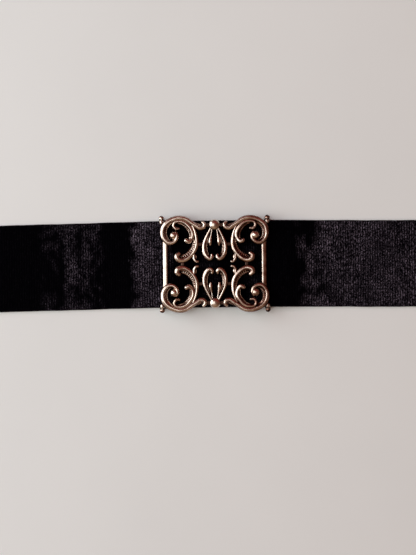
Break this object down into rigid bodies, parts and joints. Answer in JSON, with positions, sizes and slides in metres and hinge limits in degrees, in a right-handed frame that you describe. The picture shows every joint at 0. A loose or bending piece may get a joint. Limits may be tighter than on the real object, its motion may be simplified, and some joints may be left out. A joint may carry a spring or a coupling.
{
  "type": "belt buckle",
  "caption": "Openwork scroll belt buckle with a hinged face that clamps the free end of a velvet band over a plain rear plate.",
  "frame": {"origin": "on the surface it lies on, under the middle of the buckle", "axes": "+X along the band towards its free end, +Y across the band, +Z out of the buckle's front"},
  "size_m": [0.208, 0.0452, 0.0074],
  "materials": {
    "antique_silver": "antique silver plate, worn warm on the high spots and darkened in the recesses",
    "dark_silver": "oxidised silver plate, dull",
    "velvet": "black ribbed velvet, scuffed"
  },
  "bodies": {
    "rear_frame": {"rear_plate": "dark_silver", "hinge_pins": "antique_silver", "band_rivets": "dark_silver", "fixed_band": "velvet"},
    "face": {"ball_stud_bottom": "antique_silver", "ball_stud_top": "antique_silver", "catch_pins": "antique_silver", "corner_scroll_bottom_left": "antique_silver", "corner_scroll_bottom_right": "antique_silver", "corner_scroll_top_left": "antique_silver", "corner_scroll_top_right": "antique_silver", "grip_strip": "dark_silver", "inner_scroll_bottom_left": "antique_silver", "inner_scroll_bottom_right": "antique_silver", "inner_scroll_top_left": "antique_silver", "inner_scroll_top_right": "antique_silver", "leaf_curl_bottom_left": "antique_silver", "leaf_curl_bottom_right": "antique_silver", "leaf_curl_top_left": "antique_silver", "leaf_curl_top_right": "antique_silver", "lyre_arm_bottom_left": "antique_silver", "lyre_arm_bottom_right": "antique_silver", "lyre_arm_top_left": "antique_silver", "lyre_arm_top_right": "antique_silver", "lyre_tie_bottom_left": "dark_silver", "lyre_tie_bottom_right": "dark_silver", "lyre_tie_top_left": "dark_silver", "lyre_tie_top_right": "dark_silver", "mid_tie_left": "dark_silver", "mid_tie_right": "dark_silver", "side_bar_left": "antique_silver", "side_bar_right": "antique_silver", "stem_scroll_bottom_left": "antique_silver", "stem_scroll_bottom_right": "antique_silver", "stem_scroll_top_left": "antique_silver", "stem_scroll_top_right": "antique_silver", "stud_tie_bottom": "dark_silver", "stud_tie_top": "dark_silver", "teardrop_bottom_left": "antique_silver", "teardrop_bottom_right": "antique_silver", "teardrop_top_left": "antique_silver", "teardrop_top_right": "antique_silver", "volute_ball_bottom_left": "antique_silver", "volute_ball_bottom_right": "antique_silver", "volute_ball_top_left": "antique_silver", "volute_ball_top_right": "antique_silver"},
    "free_end": {"free_band": "velvet"}
  },
  "joints": [
    {"name": "face_hinge", "type": "hinge", "parent": "rear_frame", "child": "face", "pos_m": [0.0246, 0, 0.0041], "axis": [0, 1, 0], "range_deg": [0, 100]},
    {"name": "free_band_slide", "type": "slide", "parent": "rear_frame", "child": "free_end", "axis": [1, 0, 0], "range_m": [0, 0.045]}
  ]
}
